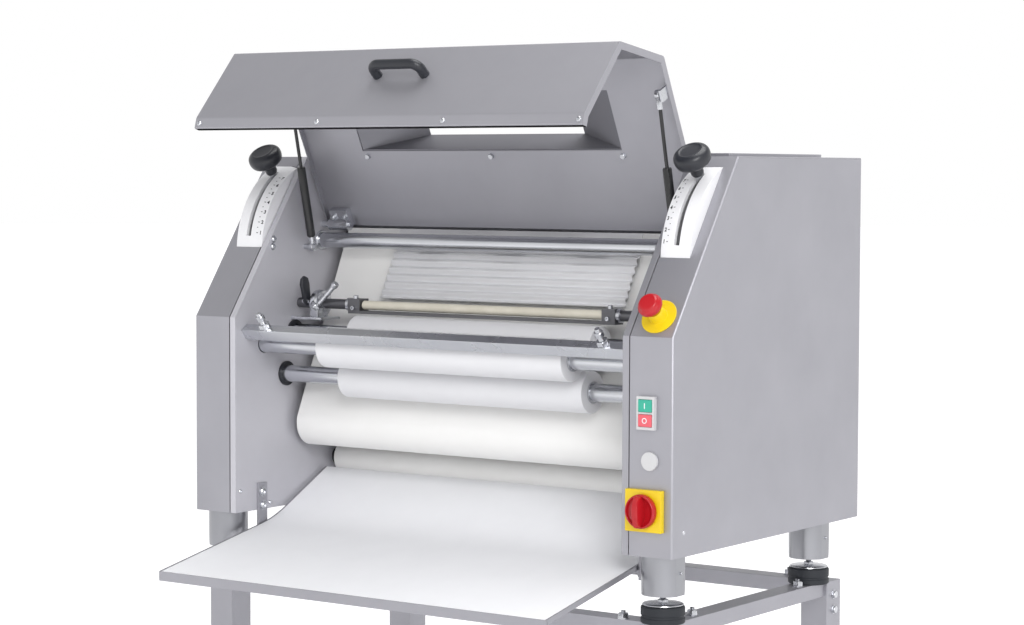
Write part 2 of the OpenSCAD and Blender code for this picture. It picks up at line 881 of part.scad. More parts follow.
module lever(side) {
    color([0.5, 0.5, 0.52]) in_head() at_lever(side) difference() {
        union() {
            rotate([0, 90, 0]) translate([0, 0, -5]) cylinder(r = 13, h = 10);
            translate([-lever_t / 2, -6, 0]) cube([lever_t, 12, scale_r + 3]);
            translate([0, 0, scale_r + 3]) cylinder(r = 6, h = 8);
        }
        rotate([0, 90, 0]) translate([0, 0, -6]) cylinder(r = pivot_r + fit, h = 12);
    }
}

// Mushroom knob with a short neck
module lever_knob(side) {
    neck = scale_r + 5;
    color([0.07, 0.07, 0.08]) in_head() at_lever(side) difference() {
        union() {
            translate([0, 0, neck]) cylinder(r = 11, h = lever_r - neck);
            translate([0, 0, lever_r]) rotate_extrude() polygon(concat(
                [[0, -14], [12, -14]],
                [for (a = [-50:10:80]) [(knob_d / 2 - 13) + 13 * cos(a), 13 * sin(a)]],
                [[0, 15]]));
        }
        translate([0, 0, neck - 1]) cylinder(r = 6, h = 7);
    }
}

module left_lever() { lever(-1); }
module right_lever() { lever(1); }
module left_knob() { lever_knob(-1); }
module right_knob() { lever_knob(1); }

// ---- controls on the right housing ----

// Emergency stop disc on the slope, main switch plate on the front
module yellow_plates() {
    color([0.95, 0.8, 0.1]) in_head() {
        on_slope(stop_at) difference() {
            union() {
                cylinder(r = stop_disc_d / 2, h = 2.5);
                cylinder(r1 = stop_neck_r + 6, r2 = stop_neck_r + 4, h = stop_collar_h);
            }
            translate([0, 0, -1]) cylinder(r = stop_neck_r + 0.6, h = stop_collar_h + 2);
        }
        on_front(switch_at) difference() {
            translate([-switch_plate / 2, -switch_plate / 2, 0])
                cube([switch_plate, switch_plate, switch_t]);
            translate([0, 0, -1]) cylinder(r = 9, h = switch_t + 2);
        }
    }
}

module stop_mushroom() {
    color([0.85, 0.1, 0.12]) in_head() on_slope(stop_at) {
        translate([0, 0, -16]) cylinder(r = stop_neck_r, h = stop_head_z + 18);
        translate([0, 0, stop_head_z]) rotate_extrude() polygon([
            [0, 0], [15, 0], [20, 5], [20, 10], [17, 15], [10, 18], [0, 19]]);
    }
}

// Carries a shape to the front face: its +z leaves the machine
module on_front(at) {
    translate([at[0], 0, at[1]]) rotate([90, 0, 0]) children();
}

// Bezel of the twin button, blank plug, and the cable gland on its plate
module panel_fittings() {
    color([0.75, 0.76, 0.78]) in_head() {
        on_front(button_at) difference() {
            translate([-16, -26, 0]) cube([32, 52, 8]);
            for (i = [-0.5, 0.5])
                translate([-button_size[0] / 2 - 0.5, i * button_pitch - button_size[1] / 2 - 0.5, -1])
                    cube([button_size[0] + 1, button_size[1] + 1, 10]);
        }
        on_front(lamp_at) cylinder(r = 14.5, h = 4);
        translate([gland_at[0], gland_at[1], 0]) difference() {
            union() {
                translate([-42, -20, 0]) cube([plate_x - gland_at[0] + 42, 38, 3]);
                translate([0, 0, -8]) cylinder(r = 13, h = 8, $fn = 6);
                translate([0, 0, -22]) cylinder(r1 = 8.5, r2 = 11, h = 14);
                cylinder(r = 12, h = 8);
            }
            translate([0, 0, -23]) cylinder(r = 5, h = 32);
        }
    }
}

module push_button(i) {
    on_front(button_at) translate([-button_size[0] / 2, i * button_pitch - button_size[1] / 2, -6])
        cube([button_size[0], button_size[1], 16]);
}

module start_button() { color([0.1, 0.6, 0.45]) in_head() push_button(0.5); }
module off_button() { color([0.85, 0.25, 0.3]) in_head() push_button(-0.5); }

module switch_knob() {
    color([0.8, 0.1, 0.12]) in_head() on_front(switch_at) {
        translate([0, 0, -6]) cylinder(r = 8.5, h = switch_t + 8);
        translate([0, 0, switch_t + 0.6]) cylinder(r = 27, h = 12);
        translate([-8, -26, switch_t + 12]) cube([16, 52, 14]);
    }
}

// ---- tray ----

// Top line of the tray, from its front lip to its rear edge
function tray_line() =
    let (lip = sheet_t - tray_reach)
    let (front = [lip, tray_knee[1] - (tray_knee[0] - lip) * tan(tray_slope)])
    let (hub = tray_knee + polar(tray_slope + 90, tray_bend_r))
    let (bend = [for (i = [0:8]) hub + polar(tray_slope - 90 + tray_turn * i / 8, tray_bend_r)])
    let (steep = tray_slope + tray_turn)
    let (rear = bend[8] + polar(steep, (tray_end - bend[8][0]) / cos(steep)))
    concat([rear], [for (i = [8:-1:0]) bend[i]], [front]);

module tray() {
    color([0.95, 0.95, 0.96]) in_head() side_extrude(-tray_half + rail_t, tray_half - rail_t)
        polygon(sheet(tray_line(), tray_t));
}

// Steel edge rails, front lip and the lugs that turn on the bracket pins
module tray_frame() {
    line = tray_line();
    front = line[len(line) - 1];
    color([0.72, 0.72, 0.75]) in_head() {
        both_sides() {
            side_extrude(tray_half - rail_t, tray_half) polygon(sheet(line, tray_t + 5));
            difference() {
                side_extrude(tray_half - rail_t, tray_half) polygon([
                    tray_pin + [-9, 0], tray_pin + [-6, -8], tray_pin + [6, -8],
                    tray_pin + [9, 0], tray_pin + [9, 10], tray_pin + [-9, 10]]);
                bar_x(tray_pin, tray_pin_r + fit, tray_half - 20, tray_half + 1);
            }
        }
        translate([-tray_half, -tray_reach, front[1] - tray_lip])
            cube([2 * tray_half, sheet_t, tray_lip]);
    }
}

module tray_brackets() {
    color([0.6, 0.6, 0.62]) in_head() both_sides() {
        translate([plate_x - 4, tray_pin[0] - 12, tray_pin[1] - 12]) cube([4, 24, 96]);
        bar_x(tray_pin, tray_pin_r, tray_half - rail_t - 6, plate_x - 4);
    }
}

// ---- feet and stand ----

module at_corners(x, ys) {
    for (side = [-1, 1], y = ys) translate([side * x, y, 0]) children();
}

module head_feet() {
    color([0.8, 0.8, 0.82]) in_head() {
        at_corners(foot_x, foot_y) difference() {
            translate([0, 0, -foot_h]) cylinder(r = foot_d / 2, h = foot_h);
            translate([0, 0, -foot_h - 1]) cylinder(r = stem_r + fit, h = 31);
        }
        both_sides() for (y = foot_y)
            translate([plate_out, y - 30, 0]) cube([cover_w - 8, 60, 8]);
    }
}

module rubber_pads() {
    top = -foot_h - stem_h;
    color([0.1, 0.1, 0.11]) in_head() at_corners(foot_x, foot_y) {
        translate([0, 0, top - cap_h - pad_h]) cylinder(r = pad_d / 2, h = pad_h);
        translate([0, 0, top - cap_h]) cylinder(r = pad_d / 2 - 2, h = cap_h);
        translate([0, 0, top - 2]) cylinder(r = stem_r, h = stem_h + 26);
    }
}

module leg_tube(h) {
    difference() {
        translate([-leg_w / 2, -leg_w / 2, -h]) cube([leg_w, leg_w, h]);
        translate([3 - leg_w / 2, 3 - leg_w / 2, -h - 1]) cube([leg_w - 6, leg_w - 6, h - 3]);
    }
}

module stand_frame() {
    top = -foot_h - stem_h - cap_h - pad_h;
    leg_h = stand_h - leg_foot_h;
    low = top - leg_h + 130;
    inside = foot_x - leg_w / 2;
    color([0.6, 0.6, 0.63]) in_head() {
        at_corners(foot_x, leg_y) translate([0, 0, top]) leg_tube(leg_h);
        for (z = [top - rail_h, low]) {
            for (y = leg_y)
                translate([-inside, y - rail_w / 2, z]) cube([2 * inside, rail_w, rail_h]);
            both_sides()
                translate([foot_x - rail_w / 2, leg_y[0] + leg_w / 2, z])
                    cube([rail_w, leg_y[1] - leg_y[0] - leg_w, rail_h]);
        }
    }
}

module stand_feet() {
    floor_z = -head_z;
    plug = leg_w - 6 - 2 * fit;
    color([0.12, 0.12, 0.13]) in_head() at_corners(foot_x, leg_y) {
        translate([0, 0, floor_z]) cylinder(r = 24, h = 12);
        translate([0, 0, floor_z + 12]) cylinder(r = 8, h = leg_foot_h - 10);
        translate([-plug / 2, -plug / 2, floor_z + leg_foot_h]) cube([plug, plug, 25]);
    }
}

left_side_plate();
right_side_plate();
left_cover();
right_cover();
top_cover();
rear_cover();
tie_bars();
cross_tube();
plate_pins();
shaft_bushes();
blade_bar();
blade_bar_studs();
front_roller_blocks();
front_roller();
front_roller_shaft();
lower_roller();
lower_roller_shaft();
rear_roller();
rear_roller_shaft();
guide_roller();
guide_bar();
lock_bracket();
lock_lever();
belt_roller();
upper_idler();
curling_belt();
delivery_roller();
rear_idler();
delivery_belt();
corrugated_board();
pressure_board();
gear_motor();
motor_sprocket();
drive_chain();
hood_shell();
feed_hopper();
hood_handle();
hood_brackets();
left_gas_cylinder();
right_gas_cylinder();
left_gas_rod();
right_gas_rod();
scale_blocks();
left_lever();
right_lever();
left_knob();
right_knob();
yellow_plates();
stop_mushroom();
panel_fittings();
start_button();
off_button();
switch_knob();
tray();
tray_frame();
tray_brackets();
head_feet();
rubber_pads();
stand_frame();
stand_feet();
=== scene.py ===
# %% [markdown]
# # A dough sheeter on its stand
# The CAD frame of the machine is already packed: side plates, rollers, hood, stand.
# This file gives it its looks. Each step first says what the piece is on the real
# machine, and then builds it so that it moves with the right part of the frame.

# %% Load the frame
import json
import math

import bmesh
import bpy
from mathutils import Matrix, Vector


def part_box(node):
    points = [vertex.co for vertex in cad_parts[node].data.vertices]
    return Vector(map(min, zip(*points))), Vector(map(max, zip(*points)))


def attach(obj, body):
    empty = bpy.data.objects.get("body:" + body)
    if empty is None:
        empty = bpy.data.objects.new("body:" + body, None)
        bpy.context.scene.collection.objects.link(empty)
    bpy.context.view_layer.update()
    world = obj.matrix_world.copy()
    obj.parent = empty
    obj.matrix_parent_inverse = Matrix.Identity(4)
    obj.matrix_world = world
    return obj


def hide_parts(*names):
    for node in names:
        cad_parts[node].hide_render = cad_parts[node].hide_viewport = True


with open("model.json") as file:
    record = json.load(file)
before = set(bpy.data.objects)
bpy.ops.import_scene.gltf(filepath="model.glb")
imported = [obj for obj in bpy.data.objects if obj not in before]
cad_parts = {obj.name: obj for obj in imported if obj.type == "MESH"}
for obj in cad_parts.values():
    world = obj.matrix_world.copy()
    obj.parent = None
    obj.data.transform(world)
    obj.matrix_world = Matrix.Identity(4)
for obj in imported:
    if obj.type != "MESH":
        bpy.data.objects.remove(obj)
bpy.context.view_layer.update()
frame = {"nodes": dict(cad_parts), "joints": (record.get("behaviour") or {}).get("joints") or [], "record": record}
nodes = frame["nodes"]
body_of_node = {n: b for b, ns in frame["record"]["behaviour"]["bodies"].items() for n in ns}
slot_of_node = {s["node"]: s["material_slot"] for s in frame["record"]["subparts"]}
joints = {j["name"]: j for j in frame["joints"]}

# %% [markdown]
# The roller head is easiest to think about in its own axes: millimetres, with zero
# at the front face and the underside of the housings. One small function turns such
# a point into the frame's metres, and it takes its offsets from a side plate's box.

# %% Head axes
MM = 0.001
plate_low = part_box("right_side_plate")[0]
FRONT_Y, HEAD_Z = plate_low.y, plate_low.z
PLATE_X = plate_low.x / MM


def at(x, y, z):
    return Vector((x * MM, FRONT_Y + y * MM, HEAD_Z + z * MM))


print("head starts at", round(FRONT_Y, 4), round(HEAD_Z, 4), "plates at", round(PLATE_X, 1))

# %% [markdown]
# ## Shared surface effects
# An effect that several finishes use is built once, as a node group. Each group puts
# out a mask or a height, and every material mixes it in with its own strength.


# %% A node group and its sockets
def new_group(name, inputs):
    group = bpy.data.node_groups.new(name, "ShaderNodeTree")
    for label, value in inputs:
        socket = group.interface.new_socket(label, in_out="INPUT", socket_type="NodeSocketFloat")
        socket.default_value = value
    group.interface.new_socket("Mask", in_out="OUTPUT", socket_type="NodeSocketFloat")
    start = group.nodes.new("NodeGroupInput")
    end = group.nodes.new("NodeGroupOutput")
    return group, start, end


def add(tree, kind, settings=None, **links):
    """Adds a node. links name its input sockets: a value, or a socket to link from."""
    node = tree.nodes.new(kind)
    for key, value in (settings or {}).items():
        setattr(node, key, value)
    for key, value in links.items():
        socket = node.inputs[int(key[1:])] if key[0] == "i" and key[1:].isdigit() else node.inputs[key]
        if isinstance(value, bpy.types.NodeSocket):
            tree.links.new(value, socket)
        else:
            socket.default_value = value
    return node


# %% [markdown]
# Clouds: soft, uneven patches. Cast metal, blasted sheet and used plastic all have
# them, and a surface without them looks like a flat colour.

# %% Cloud group
clouds, g_in, g_out = new_group("soft clouds", [("Scale", 6.0), ("Contrast", 1.0)])
spot = add(clouds, "ShaderNodeTexCoord")
noise = add(clouds, "ShaderNodeTexNoise", Vector=spot.outputs["Object"],
            Scale=g_in.outputs["Scale"], Detail=4.0, Roughness=0.6)
centred = add(clouds, "ShaderNodeMath", {"operation": "SUBTRACT"}, i0=noise.outputs["Fac"], i1=0.5)
wider = add(clouds, "ShaderNodeMath", {"operation": "MULTIPLY_ADD", "use_clamp": True},
            i0=centred.outputs[0], i1=g_in.outputs["Contrast"], i2=0.5)
clouds.links.new(wider.outputs[0], g_out.inputs["Mask"])

# %% [markdown]
# Brushing: sheet steel is sanded in one direction, so its scratches are long and
# thin. Noise stretched along one axis gives them.

# %% Brushing group
brushing, g_in, g_out = new_group("brushed lines", [("Along X", 1.0), ("Along Z", 60.0), ("Scale", 14.0)])
spot = add(brushing, "ShaderNodeTexCoord")
stretch = add(brushing, "ShaderNodeCombineXYZ", X=g_in.outputs["Along X"], Y=g_in.outputs["Along Z"],
              Z=g_in.outputs["Along Z"])
long_way = add(brushing, "ShaderNodeVectorMath", {"operation": "MULTIPLY"},
               i0=spot.outputs["Object"], i1=stretch.outputs[0])
noise = add(brushing, "ShaderNodeTexNoise", Vector=long_way.outputs[0],
            Scale=g_in.outputs["Scale"], Detail=3.0, Roughness=0.7)
brushing.links.new(noise.outputs["Fac"], g_out.inputs["Mask"])

# %% [markdown]
# Grain: the tiny, even roughness of a blasted or moulded surface.

# %% Grain group
grain, g_in, g_out = new_group("fine grain", [("Scale", 900.0)])
spot = add(grain, "ShaderNodeTexCoord")
noise = add(grain, "ShaderNodeTexNoise", Vector=spot.outputs["Object"],
            Scale=g_in.outputs["Scale"], Detail=2.0, Roughness=0.5)
grain.links.new(noise.outputs["Fac"], g_out.inputs["Mask"])

# %% [markdown]
# Weave: a conveyor belt for dough is woven wool and polyester. Two crossed waves make
# the threads, and noise bends them a little so that they don't look printed.

# %% Weave group
weave, g_in, g_out = new_group("belt weave", [("Threads", 420.0), ("Fuzz", 0.35)])
spot = add(weave, "ShaderNodeTexCoord")
fuzz = add(weave, "ShaderNodeTexNoise", Vector=spot.outputs["Object"], Scale=260.0, Detail=3.0)
bent = add(weave, "ShaderNodeVectorMath", {"operation": "SCALE"}, i0=fuzz.outputs["Color"])
bent.inputs["Scale"].default_value = 0.0009
thread_at = add(weave, "ShaderNodeVectorMath", {"operation": "ADD"},
                i0=spot.outputs["Object"], i1=bent.outputs[0])
parts = add(weave, "ShaderNodeSeparateXYZ", Vector=thread_at.outputs[0])
waves = []
for axis in ("X", "Z"):
    turned = add(weave, "ShaderNodeMath", {"operation": "MULTIPLY"},
                 i0=parts.outputs[axis], i1=g_in.outputs["Threads"])
    cycles = add(weave, "ShaderNodeMath", {"operation": "MULTIPLY"}, i0=turned.outputs[0], i1=math.tau)
    waves.append(add(weave, "ShaderNodeMath", {"operation": "SINE"}, i0=cycles.outputs[0]))
crossed = add(weave, "ShaderNodeMath", {"operation": "MULTIPLY"},
              i0=waves[0].outputs[0], i1=waves[1].outputs[0])
halved = add(weave, "ShaderNodeMath", {"operation": "MULTIPLY_ADD"}, i0=crossed.outputs[0], i1=0.5, i2=0.5)
mixed = add(weave, "ShaderNodeMix", {"data_type": "FLOAT"}, i0=g_in.outputs["Fuzz"],
            i2=halved.outputs[0], i3=fuzz.outputs["Fac"])
weave.links.new(mixed.outputs[0], g_out.inputs["Mask"])

# %% [markdown]
# ## Materials
# One function makes a finish. The colour runs between two close shades by the cloud
# mask, the roughness varies by the same mask, and a Bump node takes the fine detail.


# %% Finish maker
def finish(name, light, dark, rough, rough_more=0.08, metallic=0.0, cloud=(6.0, 1.2),
           detail=None, bump=0.1, bump_mm=0.2, **fixed):
    """detail is (group, {input: value}): what the bump is made of."""
    mat = bpy.data.materials.new(name)
    mat.use_nodes = True
    tree = mat.node_tree
    shader = tree.nodes["Principled BSDF"]
    patches = add(tree, "ShaderNodeGroup", {"node_tree": clouds})
    patches.inputs["Scale"].default_value, patches.inputs["Contrast"].default_value = cloud
    colour = add(tree, "ShaderNodeMix", {"data_type": "RGBA"}, i0=patches.outputs["Mask"])
    colour.inputs[6].default_value = (*light, 1)
    colour.inputs[7].default_value = (*dark, 1)
    tree.links.new(colour.outputs[2], shader.inputs["Base Color"])
    wear = add(tree, "ShaderNodeMath", {"operation": "MULTIPLY_ADD"},
               i0=patches.outputs["Mask"], i1=rough_more, i2=rough)
    tree.links.new(wear.outputs[0], shader.inputs["Roughness"])
    shader.inputs["Metallic"].default_value = metallic
    for key, value in fixed.items():
        shader.inputs[key.replace("_", " ")].default_value = value
    if detail:
        marks = add(tree, "ShaderNodeGroup", {"node_tree": detail[0]})
        for key, value in detail[1].items():
            marks.inputs[key].default_value = value
        raised = add(tree, "ShaderNodeBump", Height=marks.outputs["Mask"])
        raised.inputs["Strength"].default_value = bump
        raised.inputs["Distance"].default_value = bump_mm * MM
        tree.links.new(raised.outputs[0], shader.inputs["Normal"])
    return mat


# %% [markdown]
# The housings and the hood are stainless sheet, blasted with glass beads: grey, nearly
# matte, with soft broad highlights. The bright parts are turned or drawn steel.

# %% Metals
finishes = {
    "stainless": finish("blasted stainless sheet", (0.42, 0.417, 0.452), (0.365, 0.362, 0.395), 0.44, 0.08,
                        metallic=0.75, detail=(grain, {"Scale": 1400.0}), bump=0.12, bump_mm=0.05),
    # A lighter, less metallic copy of the sheet for the left side plate: painted light standing in for the light
    # its inner face would catch.
    "painted_light_sheet": finish("sheet lightened as painted light", (0.60, 0.595, 0.635), (0.53, 0.525, 0.565), 0.5, 0.08,
                           metallic=0.45, detail=(grain, {"Scale": 1400.0}), bump=0.12, bump_mm=0.05),
    # A darker copy of the sheet for the feed hopper: painted shade standing in for the shadow inside the hopper.
    "shaded_sheet": finish("sheet darkened as painted shade", (0.27, 0.268, 0.295), (0.23, 0.228, 0.252), 0.5, 0.08,
                           metallic=0.75, detail=(grain, {"Scale": 1400.0}), bump=0.12, bump_mm=0.05),
    "polished_steel": finish("ground steel shaft", (0.66, 0.67, 0.70), (0.5, 0.51, 0.54), 0.2, 0.1,
                             metallic=1.0, detail=(brushing, {"Along X": 30.0, "Along Z": 2.0}),
                             bump=0.15, bump_mm=0.03),
    "bright_steel": finish("zinc plated steel", (0.66, 0.67, 0.70), (0.57, 0.58, 0.61), 0.22, 0.10,
                           metallic=1.0, cloud=(9.0, 1.2), detail=(brushing, {}), bump=0.1, bump_mm=0.03),
    "dark_steel": finish("oiled dark steel", (0.2, 0.2, 0.21), (0.12, 0.12, 0.13), 0.35, 0.12,
                         metallic=0.9, detail=(grain, {}), bump=0.1, bump_mm=0.04),
    "foot_aluminium": finish("turned aluminium", (0.36, 0.363, 0.385), (0.30, 0.303, 0.325), 0.27, 0.1,
                             metallic=1.0, detail=(brushing, {"Along X": 3.0, "Along Z": 90.0}),
                             bump=0.12, bump_mm=0.04),
    "motor_paint": finish("motor paint", (0.1, 0.16, 0.28), (0.08, 0.12, 0.22), 0.4,
                          detail=(grain, {"Scale": 500.0}), bump=0.2, bump_mm=0.08),
    "black_paint": finish("black gas spring paint", (0.02, 0.02, 0.022), (0.012, 0.012, 0.013), 0.24,
                          detail=(grain, {"Scale": 400.0}), bump=0.06, bump_mm=0.04),
}

# %% [markdown]
# The rollers are turned from white food-grade plastic. Their finish is a plain matte white.

# %% Plastics, rubber and felt
finishes.update({
    "roller_plastic": finish("white roller plastic", (0.74, 0.74, 0.76), (0.69, 0.69, 0.71), 0.42, 0.12,
                             cloud=(9.0, 1.1), detail=(brushing, {"Along X": 60.0, "Along Z": 3.0}),
                             bump=0.08, bump_mm=0.05),
    "scale_plastic": finish("white scale block", (0.80, 0.80, 0.82), (0.76, 0.76, 0.78), 0.34,
                            detail=(grain, {"Scale": 700.0}), bump=0.06, bump_mm=0.04),
    "cream_plastic": finish("cream guide roller", (0.74, 0.70, 0.60), (0.62, 0.58, 0.48), 0.5, 0.15,
                            cloud=(30.0, 1.6), detail=(grain, {"Scale": 600.0}), bump=0.15, bump_mm=0.1),
    "tray_plastic": finish("white tray sheet", (0.90, 0.905, 0.93), (0.86, 0.865, 0.89), 0.55, 0.15,
                           cloud=(14.0, 1.3), detail=(grain, {"Scale": 380.0}), bump=0.25, bump_mm=0.15),
    "felt": finish("woven wool felt", (0.85, 0.845, 0.835), (0.80, 0.795, 0.78), 0.85, 0.1,
                   cloud=(7.0, 1.3), detail=(weave, {}), bump=0.5, bump_mm=0.35),
    "black_plastic": finish("black moulded plastic", (0.020, 0.022, 0.029), (0.012, 0.013, 0.018), 0.30,
                            0.12, detail=(grain, {"Scale": 1100.0}), bump=0.15, bump_mm=0.06),
    "rubber": finish("black rubber", (0.018, 0.021, 0.028), (0.010, 0.012, 0.016), 0.55, 0.15,
                     detail=(grain, {"Scale": 500.0}), bump=0.3, bump_mm=0.12),
    "yellow_plastic": finish("signal yellow", (0.80, 0.58, 0.008), (0.74, 0.53, 0.008), 0.32,
                             detail=(grain, {}), bump=0.08, bump_mm=0.04),
    "red_plastic": finish("signal red", (0.46, 0.006, 0.013), (0.39, 0.005, 0.010), 0.26,
                          detail=(grain, {}), bump=0.06, bump_mm=0.04),
    "off_plastic": finish("off button red", (0.75, 0.13, 0.16), (0.68, 0.1, 0.13), 0.3,
                          detail=(grain, {}), bump=0.06, bump_mm=0.04),
    "green_plastic": finish("start button green", (0.04, 0.42, 0.3), (0.03, 0.36, 0.25), 0.3,
                            detail=(grain, {}), bump=0.06, bump_mm=0.04),
    "grey_plastic": finish("grey bezel plastic", (0.6, 0.6, 0.61), (0.54, 0.54, 0.55), 0.3,
                           detail=(grain, {}), bump=0.08, bump_mm=0.04),
})
print("finishes", len(finishes))
# The left side plate takes the lighter copy of the sheet (painted light), and the feed hopper takes the darker
# copy (painted shade).
finish_of_node = {**slot_of_node, "left_side_plate": "painted_light_sheet", "feed_hopper": "shaded_sheet"}
for name, obj in nodes.items():
    obj.data.materials.clear()
    obj.data.materials.append(finishes[finish_of_node[name]])

# %% [markdown]
# ## Real edges
# No machined or folded edge is perfectly sharp. The frame's solids have sharp edges,
# so each one that shows is copied, its triangles are joined back into flat faces, and
# its edges get a small bevel that catches the light. The copy stands for the CAD node.


# %% Rounded copies
def placed(piece, body, finish_slot, *replaced, smooth=30):
    """Links a piece, gives it its finish, and makes it move with a body."""
    bpy.context.scene.collection.objects.link(piece)
    if not piece.data.materials:
        piece.data.materials.append(finishes[finish_slot])
    piece.data.shade_smooth()
    bm = bmesh.new()
    bm.from_mesh(piece.data)
    for edge in bm.edges:
        edge.smooth = edge.calc_face_angle(0) < math.radians(smooth)
    bm.to_mesh(piece.data)
    bm.free()
    if replaced:
        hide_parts(*replaced)
    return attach(piece, body)


def bevel(bm, edges, width, segments):
    bmesh.ops.bevel(bm, geom=edges, offset=width * MM, segments=segments, profile=0.5,
                    affect="EDGES", clamp_overlap=True)


def rounded(node, width=0.6, segments=2, sharp=35, fold=None, fold_width=3.0):
    """fold picks the edges that are bent sheet, which get a wider round."""
    bm = bmesh.new()
    bm.from_mesh(nodes[node].data)
    bmesh.ops.remove_doubles(bm, verts=bm.verts, dist=2e-6)
    bmesh.ops.dissolve_limit(bm, angle_limit=math.radians(0.4), verts=bm.verts, edges=bm.edges)

    def sharp_edges():
        return [e for e in bm.edges if e.is_manifold and e.calc_face_angle(0) > math.radians(sharp)]

    if fold:
        bevel(bm, [e for e in sharp_edges() if fold(e)], fold_width, 4)
    bevel(bm, sharp_edges(), width, segments)
    mesh = bpy.data.meshes.new(node + "_look")
    bm.to_mesh(mesh)
    bm.free()
    mesh.materials.append(finishes[finish_of_node[node]])
    piece = bpy.data.objects.new(node + "_look", mesh)
    placed(piece, body_of_node[node], slot_of_node[node], node)
    flat = piece.modifiers.new("flat faces stay flat", "WEIGHTED_NORMAL")
    flat.keep_sharp = True
    return piece


EDGE = {
    "left_side_plate": 0.8, "right_side_plate": 0.8, "top_cover": 1.2, "rear_cover": 0.5,
    "cross_tube": 1.0, "blade_bar": 1.2, "front_roller": 1.6, "lower_roller": 1.6,
    "rear_roller": 1.6, "front_roller_shaft": 0.8, "lower_roller_shaft": 0.6,
    "rear_roller_shaft": 0.6, "guide_roller": 0.5, "guide_bar": 1.5, "curling_belt": 0.6,
    "delivery_belt": 0.6, "corrugated_board": 0.5, "feed_hopper": 0.5, "hood_brackets": 2.0,
    "scale_blocks": 1.0, "left_lever": 0.6, "right_lever": 0.6, "yellow_plates": 1.5,
    "start_button": 1.2, "off_button": 1.2, "tray": 0.5, "tray_frame": 0.6,
    "tray_brackets": 0.6, "stand_frame": 2.0, "stand_feet": 1.5, "gear_motor": 3.0,
    "tie_bars": 0.8, "shaft_bushes": 0.5, "panel_fittings": 1.5, "front_roller_blocks": 1.0,
    "belt_roller": 0.6, "pressure_board": 1.5,
}
looks = {}
for node, width in EDGE.items():
    looks[node] = rounded(node, width)
print("rounded", len(looks), "nodes,", sum(len(p.data.polygons) for p in looks.values()), "faces")

# %% [markdown]
# A cover is one sheet folded round the housing, so its long outer edge is a bend with
# a real radius, and that bend draws a bright line down the machine. The hood's folds
# are bends too. A small test picks those edges, and they get a wider round.

# %% Folded sheets
def along(edge, axis):
    way = edge.verts[1].co - edge.verts[0].co
    return abs(way[axis]) > 0.95 * way.length


def on_outer_face(box):
    """True for the edges that lie on a cover's outer side."""
    low, high = box
    outer = high.x if high.x > 0 else low.x

    def test(edge):
        flat = all(abs(v.co.x - outer) < 1e-5 for v in edge.verts)
        return flat and not all(v.co.z - low.z < 1e-5 for v in edge.verts)
    return test


for node in ("left_cover", "right_cover"):
    looks[node] = rounded(node, 0.5, fold=on_outer_face(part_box(node)), fold_width=4.2)
looks["hood_shell"] = rounded("hood_shell", 0.5, sharp=20, fold_width=2.4,
                              fold=lambda e: along(e, 0) and e.calc_length() > 0.6)
print("folded", [len(looks[n].data.polygons) for n in ("left_cover", "right_cover", "hood_shell")])

# %% [markdown]
# ## Turned pieces
# Screws, nuts, knobs and feet are made on a lathe, so one function builds them all:
# it spins a short list of (radius, height) pairs. A ring marked True is a hexagon.


# %% Lathe
def ring_radius(radius, angle, hexed):
    if not hexed:
        return radius
    sixth = math.pi / 3
    return radius * math.cos(sixth / 2) / math.cos(angle % sixth - sixth / 2)


def turn(bm, place, way, profile, sides=24):
    """Adds a closed turned shape to bm, with its axis along way."""
    upright = Vector(way).to_track_quat("Z", "Y").to_matrix()
    rings = []
    for radius, height, *hexed in profile:
        ring = []
        for k in range(sides if radius else 1):
            angle = math.tau * k / sides
            reach = ring_radius(radius, angle, hexed)
            point = Vector((reach * math.cos(angle), reach * math.sin(angle), height)) * MM
            ring.append(bm.verts.new(place + upright @ point))
        rings.append(ring)
    for low, high in zip(rings, rings[1:]):
        for k in range(sides):
            near, far = k, k + 1
            corners = [low[near % len(low)], low[far % len(low)],
                       high[far % len(high)], high[near % len(high)]]
            corners = list(dict.fromkeys(corners))
            if len(corners) > 2:
                bm.faces.new(corners)


def lathed(name, body, finish_slot, items, *replaced, sides=24, smooth=30):
    """items holds (place, way, profile) for each copy."""
    bm = bmesh.new()
    for place, way, profile in items:
        turn(bm, place, way, profile, sides)
    mesh = bpy.data.meshes.new(name)
    bm.to_mesh(mesh)
    bm.free()
    return placed(bpy.data.objects.new(name, mesh), body, finish_slot, *replaced, smooth=smooth)


# %% [markdown]
# Fasteners follow standards: the head of a socket screw is 1.5 times its thread and as
# tall as the thread is thick. So one size number is enough for each of them.

# %% Screws, nuts and threads
def socket_screw(size):
    return [(0, 0), (.75 * size, 0), (.75 * size, .9 * size), (.68 * size, size),
            (.48 * size, size, True), (.48 * size, .45 * size, True), (0, .45 * size)]


def dome_screw(size):
    return [(0, 0), (.95 * size, 0), (.9 * size, .22 * size), (.68 * size, .45 * size),
            (.36 * size, .54 * size, True), (.36 * size, .25 * size, True), (0, .25 * size)]


def hex_head(size, height=0.65):
    return [(0, 0), (.96 * size, 0, True), (.96 * size, (height - .1) * size, True),
            (.8 * size, height * size), (0, height * size)]


def washer(size, up=0.0):
    return [(0, up), (1.1 * size, up), (1.1 * size, up + .16 * size), (0, up + .16 * size)]


def lifted(profile, up):
    return [(r, h + up, *rest) for r, h, *rest in profile]


def thread(size, start, end, pitch):
    half = size / 2
    turns = int((end - start) / pitch)
    ridges = []
    for i in range(turns):
        ridges += [(half - .3 * pitch, start + i * pitch), (half, start + (i + .5) * pitch)]
    return [(0, start), *ridges, (half - .3 * pitch, end - .2), (half - .6 * pitch, end), (0, end)]


FRONT, UP = (0, -1, 0), (0, 0, 1)
LEFT, RIGHT, BACK = (-1, 0, 0), (1, 0, 0), (0, 1, 0)
SIDES = (-1, 1)

# %% [markdown]
# The studs on the blade bar hold the scraper under it: washer, nut, thread, and a
# round thumb nut on top. The bar leans back, and the studs lean with it.

